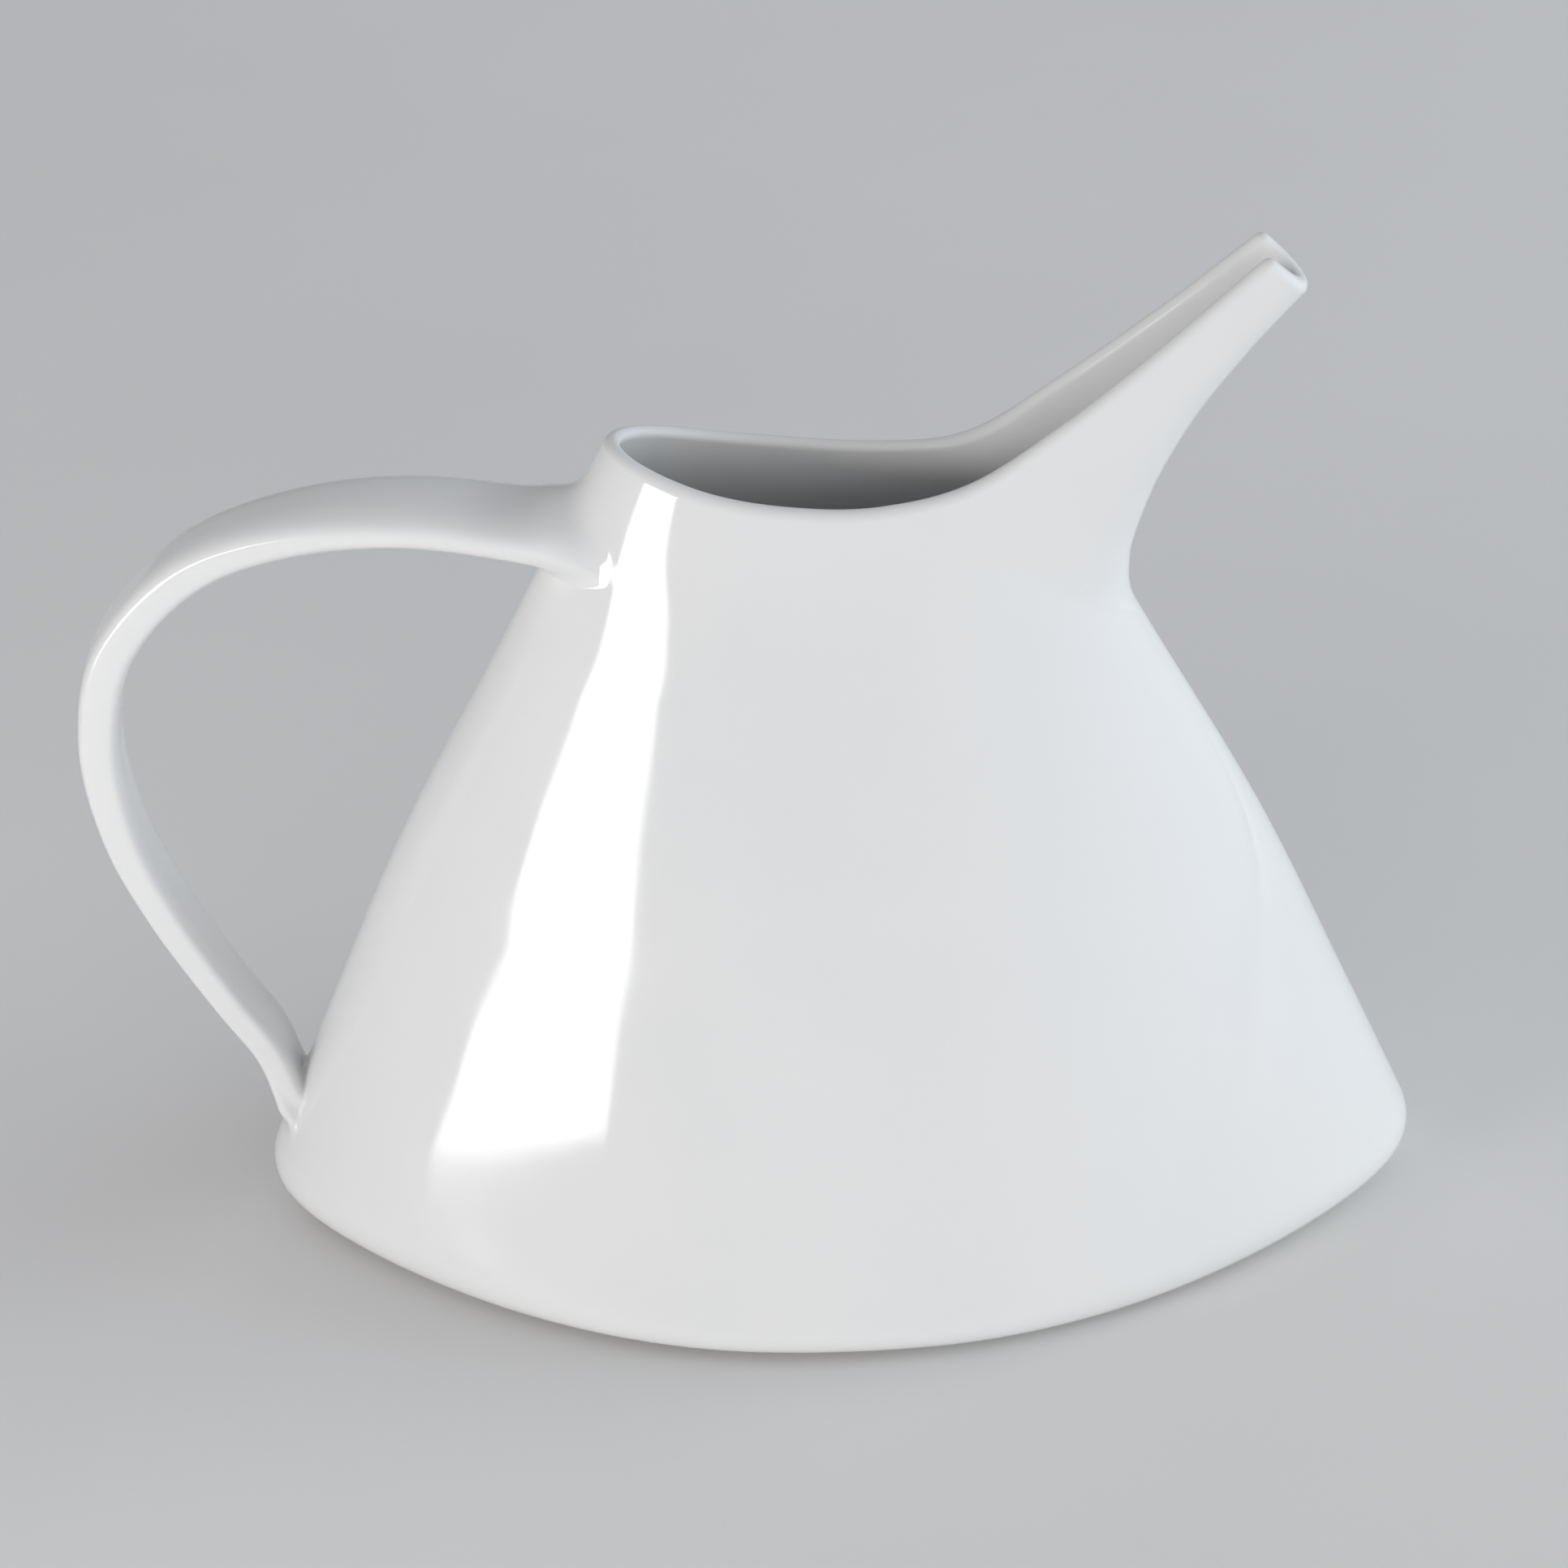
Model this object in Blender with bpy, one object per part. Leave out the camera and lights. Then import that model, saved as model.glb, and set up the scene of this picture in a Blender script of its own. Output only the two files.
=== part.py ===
"""Lidless porcelain coffee pot: tent-shaped oval vessel, open beak spout and strap handle.

Metres, +Z up.  The foot stands on Z = 0, the spout points along +X, the handle
along -X, and the pot is symmetric about the plane Y = 0.  Every piece is fired
clay; the thin joints are the slip with which the castings are luted together.
"""
import math

import bpy
import bmesh
from mathutils import Vector

MM = 0.001

# ---------------------------------------------------------------- dimensions (mm)
SHIFT_X = 13.0          # body axis ahead of the middle of the overall length
FOOT_HEIGHT = 1.5       # unglazed foot ring under the body
FOOT_END, FOOT_SIDE = 16.0, 9.5     # its outer edge, in from the plan at the ends and the sides
GAP = 0.3               # free play left between touching pieces
WALL = 3.3              # thickness of the cast wall
FLOOR = 4.0             # thickness of the vessel's floor
EDGE_RADIUS = 4.9       # rounding of the outer bottom edge along the sides
END_RADIUS = 11.0       # the same at the two ends, where the plan is drawn in further
JOINT = 1.0             # thickness of a slip joint

# half length and half width of the vessel at a few heights above its underside
LENGTH_AT = ((0, 104.0), (35, 88.9), (70, 73.3), (105, 54.5), (140, 36.1), (190, 10.0))
WIDTH_AT = ((0, 62.2), (35, 50.8), (70, 38.8), (105, 26.0), (125, 18.4), (140, 14.4), (190, 6.0))

# height of the lip along the pot's length, from the handle side to the spout's tip
LIP_AT = ((-60, 151.8), (-37, 143.5), (-28, 140.3), (-18, 137.2), (-5, 134.9), (10, 134.0),
          (25, 136.4), (40, 145.9), (55, 157.2), (73, 172.1), (90, 186.3))

# beak: depth and half width of its U section against the place of its lip
BEAK_DEPTH_AT = ((8, 31.0), (18, 33.0), (26, 32.0), (31, 28.3), (40.5, 21.1), (50.6, 15.8), (61.7, 12.4), (74, 10.2))
BEAK_WIDTH_AT = ((8, 8.6), (18, 10.7), (27, 11.8), (40, 11.1), (50, 9.9), (62, 8.4), (74, 7.2))
BEAK_DIP = math.radians(-43.8)      # the U sections lean forward by this much
BEAK_START, BEAK_END = 12.0, 73.6
JOINT_LIP = 30.0                    # the beak is luted on along the section that starts here

# handle: centre line in the plane Y = 0, with the strap's width and thickness along it
HANDLE_LINE = ((-30, 117.0), (-44, 125.4), (-66, 130.2), (-87, 129.1), (-105, 122.5), (-118.2, 108.7),
               (-122.8, 92.0), (-120.7, 74.5), (-114.6, 58.5), (-106.0, 42.5), (-99.0, 31.3), (-94.0, 22.0), (-84.0, 13.5))
HANDLE_WIDTH_AT = ((0, 22.4), (0.1, 22.4), (0.2, 21.6), (0.38, 15.0), (0.7, 14.6), (1, 14.2))
HANDLE_THICK_AT = ((0, 7.6), (0.5, 7.3), (0.85, 5.6), (1, 5.3))

RING_STEPS = 56
SPLINE_STEPS = 26


# ---------------------------------------------------------------- curves and sections
def along(table, x):
    """Smooth value of a table of (place, value) at x, by Hermite pieces."""
    n = len(table)
    if x <= table[0][0]:
        i = 0
    elif x >= table[-1][0]:
        i = n - 2
    else:
        i = max(k for k in range(n - 1) if table[k][0] <= x)
    (x0, y0), (x1, y1) = table[i], table[i + 1]

    def slope(k):
        if k == 0:
            return (table[1][1] - table[0][1]) / (table[1][0] - table[0][0])
        if k == n - 1:
            return (table[-1][1] - table[-2][1]) / (table[-1][0] - table[-2][0])
        h0, h1 = table[k][0] - table[k - 1][0], table[k + 1][0] - table[k][0]
        d0 = (table[k][1] - table[k - 1][1]) / h0
        d1 = (table[k + 1][1] - table[k][1]) / h1
        return (d0 * h1 + d1 * h0) / (h0 + h1)

    h = x1 - x0
    t = min(max((x - x0) / h, 0.0), 1.0)
    return ((2 * t ** 3 - 3 * t ** 2 + 1) * y0 + (t ** 3 - 2 * t ** 2 + t) * h * slope(i)
            + (-2 * t ** 3 + 3 * t ** 2) * y1 + (t ** 3 - t ** 2) * h * slope(i + 1))


def section_point(theta, z, offset=0.0, end_inset=0.0, side_inset=0.0):
    """Point of the vessel's plan at height z: pointed oval below, fuller egg at the neck."""
    a = along(LENGTH_AT, z) + offset - end_inset
    b = along(WIDTH_AT, z) + offset - side_inset
    u = min(max((z - 62.0) / 80.0, 0.0), 1.0)
    u = u * u * (3 - 2 * u)
    c1, c2, c3 = 0.109 - 0.159 * u, 0.175 * (1 - u), 0.17 * u
    c, s = math.cos(theta), math.sin(theta)
    return a * c, b * s * (1 - c1 * c * c - c2 * c ** 4 - c3 * c)


def edge_inset(z, radius):
    """How far the rounded bottom edge draws the plan in at height z."""
    if z >= radius:
        return 0.0
    return radius - math.sqrt(max(radius ** 2 - (radius - z) ** 2, 0.0))


def top_height(theta, rise, offset):
    """Height at which the wall meets the lip line (raised by rise) in direction theta."""
    z = 136.0
    for _ in range(30):
        x, _y = section_point(theta, z, offset)
        z = 0.5 * z + 0.5 * (along(LIP_AT, x) + rise)
    return z


def to_world(x, y, z):
    return Vector(((x + SHIFT_X) * MM, y * MM, (z + FOOT_HEIGHT + GAP) * MM))


# ---------------------------------------------------------------- scene helpers
def clear_scene():
    for obj in list(bpy.data.objects):
        bpy.data.objects.remove(obj, do_unlink=True)


def collection(name):
    coll = bpy.data.collections.new(name)
    bpy.context.scene.collection.children.link(coll)
    return coll


def porcelain(name, colour, roughness, coat):
    mat = bpy.data.materials.new(name)
    mat.use_nodes = True
    bsdf = mat.node_tree.nodes["Principled BSDF"]
    bsdf.inputs["Base Color"].default_value = (*colour, 1.0)
    bsdf.inputs["Roughness"].default_value = roughness
    bsdf.inputs["Metallic"].default_value = 0.0
    bsdf.inputs["Coat Weight"].default_value = coat
    mat.diffuse_color = (*colour, 1.0)
    return mat


def loft(name, rings, coll, cap=True):
    """Closed solid through rings of equally many points, capped at both ends."""
    bm = bmesh.new()
    verts = [[bm.verts.new(p) for p in ring] for ring in rings]
    n = len(rings[0])
    for lower, upper in zip(verts, verts[1:]):
        for i in range(n):
            j = (i + 1) % n
            bm.faces.new((lower[i], lower[j], upper[j], upper[i]))
    if cap:
        for ring, flip in ((verts[0], True), (verts[-1], False)):
            bm.faces.new(list(reversed(ring)) if flip else ring)
    bmesh.ops.triangulate(bm, faces=[f for f in bm.faces if len(f.verts) > 4])
    bmesh.ops.recalc_face_normals(bm, faces=bm.faces)
    mesh = bpy.data.meshes.new(name)
    bm.to_mesh(mesh)
    bm.free()
    obj = bpy.data.objects.new(name, mesh)
    coll.objects.link(obj)
    return obj


def as_cutter(obj):
    obj.hide_render = True
    obj.display_type = 'WIRE'
    return obj


def boolean(obj, other, operation):
    mod = obj.modifiers.new(operation.lower(), 'BOOLEAN')
    mod.operation = operation
    mod.solver = 'EXACT'
    mod.object = other
    return mod


def copy_of(obj, name, coll):
    new = obj.copy()
    new.data = obj.data.copy()
    new.name = name
    new.data.name = name
    coll.objects.link(new)
    return new


def finish(obj, material, angle=35.0):
    obj.data.materials.clear()
    obj.data.materials.append(material)
    obj.data.shade_smooth()
    obj.data.set_sharp_from_angle(angle=math.radians(angle))
    obj.hide_render = False


# ---------------------------------------------------------------- solids
def vessel_volume(name, coll, offset=0.0, floor=0.0, rise=0.0, flat_top=None, steps=RING_STEPS,
                  radius=EDGE_RADIUS, end_radius=END_RADIUS, layers=12):
    """Volume inside the vessel's plan, drawn out by offset, from the floor to the lip."""
    rings = []
    bottom = [end_radius * (1 - math.cos(math.radians(a))) for a in (0, 16, 32, 48, 66, 90)]
    thetas = [2 * math.pi * i / steps for i in range(steps)]
    tops = [flat_top if flat_top is not None else top_height(t, rise, offset) for t in thetas]
    for h in bottom[:-1]:
        ring = []
        for t in thetas:
            x, y = section_point(t, floor + h, offset, edge_inset(h, end_radius), edge_inset(h, radius))
            ring.append(to_world(x, y, floor + h))
        rings.append(ring)
    low = floor + bottom[-1]
    for k in range(layers + 1):
        v = k / layers
        ring = []
        for t, top in zip(thetas, tops):
            z = low + (top - low) * v
            x, y = section_point(t, z, offset)
            ring.append(to_world(x, y, z))
        rings.append(ring)
    return loft(name, rings, coll)


def beak_ring(lip_x, inset, rise, count=20):
    """U section of the beak that starts at the lip over lip_x."""
    depth = along(BEAK_DEPTH_AT, lip_x) - inset
    half = along(BEAK_WIDTH_AT, lip_x) - inset
    lip_z = along(LIP_AT, lip_x)
    dx, dz = math.cos(BEAK_DIP), math.sin(BEAK_DIP)
    ring = []
    for i in range(count + 1):
        t = -1.0 + 2.0 * i / count
        y = half * math.sin(t * math.pi / 2)
        down = (1 - abs(y / half) ** 2.0) ** (1 / 2.6) * depth
        ring.append(to_world(lip_x + dx * down, y, lip_z + dz * down))
    # the section's open top is closed above the lip line by rise
    ring.append(to_world(lip_x - dx * rise, half, lip_z - dz * rise))
    ring.append(to_world(lip_x - dx * rise, -half, lip_z - dz * rise))
    return ring


def beak_volume(name, coll, inset, rise, start, end):
    steps = 15
    rings = [beak_ring(start + (end - start) * k / steps, inset, rise) for k in range(steps + 1)]
    return loft(name, rings, coll)


def half_space(name, coll, lip_x, shift):
    """Large block on the spout's side of the section at lip_x, moved forward by shift."""
    bm = bmesh.new()
    bmesh.ops.create_cube(bm, size=0.4)
    mesh = bpy.data.meshes.new(name)
    bm.to_mesh(mesh)
    bm.free()
    obj = bpy.data.objects.new(name, mesh)
    coll.objects.link(obj)
    normal = Vector((-math.sin(BEAK_DIP), 0.0, math.cos(BEAK_DIP)))
    obj.rotation_euler = (0.0, -math.radians(90) - BEAK_DIP + math.radians(90), 0.0)
    obj.location = to_world(lip_x, 0.0, along(LIP_AT, lip_x)) + normal * (0.2 + shift * MM)
    return as_cutter(obj)


def centre_line(points, steps):
    """Evenly spaced points of a Catmull-Rom curve through the control points."""
    pts = [Vector((x, 0.0, z)) for x, z in points]
    pts = [pts[0] * 2 - pts[1]] + pts + [pts[-1] * 2 - pts[-2]]
    fine = []
    for i in range(1, len(pts) - 2):
        p0, p1, p2, p3 = pts[i - 1:i + 3]
        for k in range(12):
            t = k / 12
            fine.append(0.5 * ((2 * p1) + (p2 - p0) * t + (2 * p0 - 5 * p1 + 4 * p2 - p3) * t * t
                               + (3 * p1 - 3 * p2 + p3 - p0) * t ** 3))
    fine.append(pts[-2])
    length = [0.0]
    for a, b in zip(fine, fine[1:]):
        length.append(length[-1] + (b - a).length)
    out = []
    for k in range(steps + 1):
        s = length[-1] * k / steps
        i = max(j for j in range(len(length) - 1) if length[j] <= s + 1e-9)
        t = (s - length[i]) / (length[i + 1] - length[i])
        out.append(fine[i].lerp(fine[i + 1], t))
    return out


def strap_volume(name, coll, grow=0.0, begin=0, end=SPLINE_STEPS):
    """Strap with rounded edges swept along the handle's centre line."""
    line = centre_line(HANDLE_LINE, SPLINE_STEPS)
    rings = []
    for i in range(begin, end + 1):
        s = i / SPLINE_STEPS
        tangent = (line[min(i + 1, SPLINE_STEPS)] - line[max(i - 1, 0)]).normalized()
        outward = Vector((tangent.z, 0.0, -tangent.x))
        half_w = along(HANDLE_WIDTH_AT, s) / 2 + grow
        half_t = along(HANDLE_THICK_AT, s) / 2 + grow
        r = min(half_t * 0.75, 2.2)
        ring = []
        for sy, so in ((1, 1), (-1, 1), (-1, -1), (1, -1)):
            cy, co = sy * (half_w - r), so * (half_t - r)
            start = {(1, 1): 0, (-1, 1): 90, (-1, -1): 180, (1, -1): 270}[(sy, so)]
            for a in (0, 30, 60, 90):
                ang = math.radians(start + a)
                ring.append((cy + r * math.cos(ang), co + r * math.sin(ang)))
        rings.append([to_world(*(line[i] + outward * o + Vector((0, y, 0)))) for y, o in ring])
    return loft(name, rings, coll)


# ---------------------------------------------------------------- model
def build():
    clear_scene()
    parts = collection("coffee_pot")
    tools = collection("cutters")

    glaze = porcelain("white_glazed_porcelain", (0.80, 0.81, 0.81), 0.08, 1.0)
    slip = porcelain("fired_slip", (0.76, 0.76, 0.74), 0.25, 0.4)
    bisque = porcelain("unglazed_porcelain", (0.72, 0.69, 0.64), 0.75, 0.0)

    # the vessel and the beak share one cavity
    cavity = as_cutter(vessel_volume("cavity", tools, offset=-WALL, floor=FLOOR, rise=14.0, radius=4.0, end_radius=9.0))
    channel = as_cutter(beak_volume("channel", tools, WALL, 14.0, BEAK_START - 6.0, BEAK_END + 4.0))
    beak = as_cutter(beak_volume("beak", tools, 0.0, 0.0, BEAK_START, BEAK_END))
    front = half_space("front_of_joint", tools, JOINT_LIP, JOINT + GAP)
    middle = half_space("joint_front", tools, JOINT_LIP, JOINT)
    behind = half_space("joint_behind", tools, JOINT_LIP, 0.0)
    clear = half_space("body_limit", tools, JOINT_LIP, -GAP)

    body = vessel_volume("body", parts)
    boolean(body, beak, 'UNION')
    boolean(body, cavity, 'DIFFERENCE')
    boolean(body, channel, 'DIFFERENCE')
    boolean(body, clear, 'DIFFERENCE')

    spout = beak_volume("spout", parts, 0.0, 0.0, BEAK_START, BEAK_END)
    boolean(spout, channel, 'DIFFERENCE')
    boolean(spout, front, 'INTERSECT')

    spout_joint = beak_volume("spout_joint", parts, 0.0, 0.0, BEAK_START, BEAK_END)
    boolean(spout_joint, channel, 'DIFFERENCE')
    boolean(spout_joint, behind, 'INTERSECT')
    boolean(spout_joint, middle, 'DIFFERENCE')

    # the handle's ends are trimmed to the vessel's side and luted to it
    trim = as_cutter(vessel_volume("handle_trim", tools, offset=2 * GAP + JOINT, floor=-8.0, flat_top=170.0))
    skin = as_cutter(vessel_volume("joint_outer", tools, offset=GAP + JOINT, floor=-8.0, flat_top=170.0))
    wall = as_cutter(vessel_volume("joint_inner", tools, offset=GAP, floor=-8.0, flat_top=170.0))

    handle = strap_volume("handle", parts)
    boolean(handle, trim, 'DIFFERENCE')

    upper = strap_volume("handle_upper_joint", parts, grow=1.2, begin=0, end=6)
    boolean(upper, skin, 'INTERSECT')
    boolean(upper, wall, 'DIFFERENCE')
    lower = strap_volume("handle_lower_joint", parts, grow=1.2, begin=SPLINE_STEPS - 5, end=SPLINE_STEPS)
    boolean(lower, skin, 'INTERSECT')
    boolean(lower, wall, 'DIFFERENCE')

    # foot ring that follows the plan of the vessel's underside
    rings = []
    thetas = [2 * math.pi * i / RING_STEPS for i in range(RING_STEPS)]
    for inset, z in ((0.5, 0.0), (0.0, FOOT_HEIGHT), (5.5, FOOT_HEIGHT), (5.0, 0.0), (0.5, 0.0)):
        ring = []
        for t in thetas:
            x, y = section_point(t, 0.0, -inset, FOOT_END, FOOT_SIDE)
            p = to_world(x, y, 0.0)
            ring.append(Vector((p.x, p.y, z * MM)))
        rings.append(ring)
    foot = loft("foot_ring", rings, parts, cap=False)
    bm = bmesh.new()
    bm.from_mesh(foot.data)
    bmesh.ops.remove_doubles(bm, verts=bm.verts, dist=1e-6)
    bmesh.ops.recalc_face_normals(bm, faces=bm.faces)
    bm.to_mesh(foot.data)
    bm.free()

    for obj in (body, spout, handle):
        finish(obj, glaze)
    for obj in (spout_joint, upper, lower):
        finish(obj, slip)
    finish(foot, bisque)


build()
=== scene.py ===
"""Lidless porcelain coffee pot: the finished surface, its glaze, and a plain studio.

The pot's shape is one smooth function of x, y and z (below zero inside the clay),
built from the vessel, the beak and the strap with soft blends between them.  Its
surface is meshed here, refined where it bends, and parted into the cast pieces.
"""

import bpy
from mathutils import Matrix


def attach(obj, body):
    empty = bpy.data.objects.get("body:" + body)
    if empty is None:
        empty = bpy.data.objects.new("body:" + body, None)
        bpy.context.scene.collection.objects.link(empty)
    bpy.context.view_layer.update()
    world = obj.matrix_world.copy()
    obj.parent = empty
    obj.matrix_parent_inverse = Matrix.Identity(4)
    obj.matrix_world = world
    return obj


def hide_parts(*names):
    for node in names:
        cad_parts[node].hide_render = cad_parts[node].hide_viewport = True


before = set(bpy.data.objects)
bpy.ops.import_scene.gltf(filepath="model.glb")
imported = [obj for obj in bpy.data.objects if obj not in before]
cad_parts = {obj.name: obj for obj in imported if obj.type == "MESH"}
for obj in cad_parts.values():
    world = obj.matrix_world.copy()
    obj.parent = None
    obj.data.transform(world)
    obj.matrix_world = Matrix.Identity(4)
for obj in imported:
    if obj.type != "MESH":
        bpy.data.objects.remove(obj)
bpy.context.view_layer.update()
import math

import bpy
import numpy as np
from mathutils import Matrix, Vector
from mathutils.geometry import tessellate_polygon

# ---------------------------------------------------------------- shape of the pot, in millimetres
# x runs along the pot from the body's axis, z up from the body's underside
SHIFT_X, RAISE = 13.0, 1.8
JOINT_LIP = 30.0        # the beak is luted to the vessel along the U section that starts here
CAM_EL, CAM_AZ, CAM_ROLL, CAM_D, CAM_X, CAM_Z = 28.0, -0.0467, -2.1316, 828.948, -7.6908, 76.7862
WALL, FLOOR = 3.3, 4.0
LENGTH_AT = ((0, 104.0), (35, 88.9), (70, 73.3), (105, 54.5), (140, 36.1), (190, 10.0))
WIDTH_AT = ((0, 62.2), (35, 50.8), (70, 38.8), (105, 26.0), (125, 18.4), (140, 14.4), (190, 6.0))
LIP_AT = ((-60, 151.8), (-37, 143.5), (-28, 140.3), (-18, 137.2), (-5, 134.9), (10, 134.0),
          (25, 136.4), (40, 145.9), (55, 157.2), (73, 172.1), (90, 186.3))
BEAK_DEPTH_AT = ((0, 24.0), (12, 30.0), (20, 32.1), (26, 31.5), (31, 28.1), (40.5, 21.1), (50.6, 15.8), (61.7, 12.4), (74, 10.2))
BEAK_WIDTH_AT = ((0, 5.0), (12, 7.0), (20, 8.8), (27, 10.6), (33, 11.2), (40, 11.0), (50, 9.9), (62, 8.4), (74, 7.2))
BEAK_DIP = math.radians(43.8)
BEAK_END = 73.1
HANDLE_LINE = ((-30, 117.0), (-44, 125.4), (-66, 130.2), (-87, 129.1), (-105, 122.5), (-118.2, 108.7),
               (-122.6, 92.0), (-120.6, 74.5), (-114.5, 58.5), (-105.9, 42.5), (-99.1, 31.3), (-96.0, 22.6), (-91.5, 13.0))
HANDLE_WIDTH_AT = ((0, 9.0), (0.05, 18.5), (0.1, 22.9), (0.2, 22.5), (0.38, 15.2), (0.7, 14.8), (1, 14.4))
HANDLE_THICK_AT = ((0, 7.7), (0.5, 7.2), (0.85, 5.5), (1, 5.2))


class Table:
    """Smooth function through (place, value) pairs, by Hermite pieces, for arrays."""

    def __init__(self, pairs):
        self.x = np.array([p[0] for p in pairs], float)
        self.y = np.array([p[1] for p in pairs], float)
        h = np.diff(self.x)
        d = np.diff(self.y) / h
        m = np.empty_like(self.y)
        m[0], m[-1] = d[0], d[-1]
        m[1:-1] = (d[:-1] * h[1:] + d[1:] * h[:-1]) / (h[1:] + h[:-1])
        self.m, self.h = m, h

    def __call__(self, x):
        i = np.clip(np.searchsorted(self.x, x, side='right') - 1, 0, len(self.h) - 1)
        h = self.h[i]
        t = np.clip((x - self.x[i]) / h, 0, 1)
        t2 = t * t
        t3 = t2 * t
        return ((2 * t3 - 3 * t2 + 1) * self.y[i] + (t3 - 2 * t2 + t) * h * self.m[i]
                + (-2 * t3 + 3 * t2) * self.y[i + 1] + (t3 - t2) * h * self.m[i + 1])


length_at, width_at, lip_at = Table(LENGTH_AT), Table(WIDTH_AT), Table(LIP_AT)
beak_depth, beak_width = Table(BEAK_DEPTH_AT), Table(BEAK_WIDTH_AT)
strap_width, strap_thick = Table(HANDLE_WIDTH_AT), Table(HANDLE_THICK_AT)

_lx = np.linspace(-60, 90, 601)
_lz = lip_at(_lx)
_lslope = np.gradient(_lz, _lx)
SN, CS = math.sin(BEAK_DIP), math.cos(BEAK_DIP)
_lq = _lx * SN + _lz * CS                      # place along the beak's axis of each lip point
_keep = _lx > -20
TIP_Q = float(np.interp(BEAK_END, _lx, _lq))
JOINT_Q = float(np.interp(JOINT_LIP, _lx, _lq))
BACK_Q = float(np.interp(8.0, _lx[_keep], _lq[_keep]))


def smooth(x, lo, hi):
    t = np.clip((x - lo) / (hi - lo), 0, 1)
    return t * t * (3 - 2 * t)


def smin(a, b, k):
    h = np.maximum(k - np.abs(a - b), 0) / k
    return np.minimum(a, b) - h * h * k * 0.25


def round_max(a, b, r):
    u, v = np.maximum(a + r, 0), np.maximum(b + r, 0)
    return np.minimum(np.maximum(a, b), -r) + np.sqrt(u * u + v * v)


def vessel_level(x, y, z, offset):
    """Below 1 inside the vessel's oval plan."""
    zc = np.clip(z, -20, 185)
    a = length_at(np.maximum(zc, 0)) + offset - 0.44 * np.minimum(zc, 0)
    b = width_at(np.maximum(zc, 0)) + offset - 0.33 * np.minimum(zc, 0)
    u = smooth(zc, 62.0, 142.0)
    c = x / a
    over = np.maximum(np.abs(c) - 1, 0)
    c = np.sign(c) * (np.minimum(np.abs(c), 1) + 0.25 * np.tanh(over / 0.25))
    c2 = c * c
    k = 1 - (0.109 - 0.159 * u) * c2 - 0.175 * (1 - u) * c2 * c2 - 0.17 * u * c
    return np.sqrt((x / a) ** 2 + (y / (b * k)) ** 2 + 1e-9)


def beak_level(x, y, z, inset):
    """Below 1 inside the U sections of the beak."""
    q = x * SN + z * CS
    lx = np.interp(q, _lq[_keep], _lx[_keep])
    lz = np.interp(lx, _lx, _lz)
    t = (x - lx) * CS - (z - lz) * SN
    w = beak_width(lx) - inset
    d = beak_depth(lx) - inset
    tt = np.maximum(t / d, 0)
    return np.sqrt(tt ** 2.6 + (y / w) ** 2 + 1e-9)


def distance(level, x, y, z, *args):
    """First-order distance to the surface level = 1."""
    e = 0.05
    g0 = level(x, y, z, *args)
    gx = (level(x + e, y, z, *args) - g0) / e
    gy = (level(x, y + e, z, *args) - g0) / e
    gz = (level(x, y, z + e, *args) - g0) / e
    return (g0 - 1) / np.sqrt(gx * gx + gy * gy + gz * gz + 1e-12)


def strap_line(points, per=14):
    pts = [np.array(p, float) for p in points]
    pts = [2 * pts[0] - pts[1]] + pts + [2 * pts[-1] - pts[-2]]
    out = []
    for i in range(1, len(pts) - 2):
        p0, p1, p2, p3 = pts[i - 1:i + 3]
        for k in range(per):
            t = k / per
            out.append(0.5 * (2 * p1 + (p2 - p0) * t + (2 * p0 - 5 * p1 + 4 * p2 - p3) * t * t
                              + (3 * p1 - 3 * p2 + p3 - p0) * t ** 3))
    out.append(pts[-2])
    return np.array(out)


_sl = strap_line(HANDLE_LINE)
_seg = np.diff(_sl, axis=0)
_seglen = np.hypot(_seg[:, 0], _seg[:, 1])
_arc = np.r_[0, np.cumsum(_seglen)]
# smoothed unit normals at the points of the line, outward from the loop
_tan = np.gradient(_sl, axis=0)
_tan /= np.hypot(_tan[:, 0], _tan[:, 1])[:, None]
_nor = np.c_[_tan[:, 1], -_tan[:, 0]]


def strap_place(x, z):
    """Place along the strap (0 to 1) and offset from its centre line."""
    n = x.size
    s, o = np.empty(n), np.empty(n)
    for i in range(0, n, 40000):
        p = np.c_[x[i:i + 40000], z[i:i + 40000]]
        d2 = ((p[:, None, :] - _sl[None, ::3, :]) ** 2).sum(2)
        near = d2.argmin(1) * 3
        best = np.full(len(p), 1e9)
        bs, bo = np.zeros(len(p)), np.zeros(len(p))
        for off in range(-4, 5):
            j = np.clip(near + off, 0, len(_seg) - 1)
            a, v, L = _sl[j], _seg[j], _seglen[j]
            t = np.clip(((p - a) * v).sum(1) / (L * L), 0, 1)
            c = a + v * t[:, None]
            r = p - c
            d = (r * r).sum(1)
            nn = _nor[j] * (1 - t)[:, None] + _nor[np.minimum(j + 1, len(_nor) - 1)] * t[:, None]
            sign = np.sign((r * nn).sum(1))
            m = d < best
            best[m] = d[m]
            bs[m] = (_arc[j] + L * t)[m] / _arc[-1]
            bo[m] = (np.sqrt(d) * sign)[m]
        s[i:i + 40000], o[i:i + 40000] = bs, bo
    return s, o


def strap_distance(s, o, y):
    """Oval section near the top, flatter with firmer edges further down."""
    w, t = strap_width(s) / 2, strap_thick(s) / 2
    p = 2.35 + 2.4 * smooth(s, 0.2, 0.62)
    a = np.maximum(np.abs(y) / w, 1e-3)
    b = np.maximum(np.abs(o) / t, 1e-3)
    ap, bp = a ** (p - 1), b ** (p - 1)
    level = (ap * a + bp * b) ** (1 / p)
    slope = level ** (1 - p) * np.hypot(ap / w, bp / t)
    return np.maximum((level - 1) / slope, -t)


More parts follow.
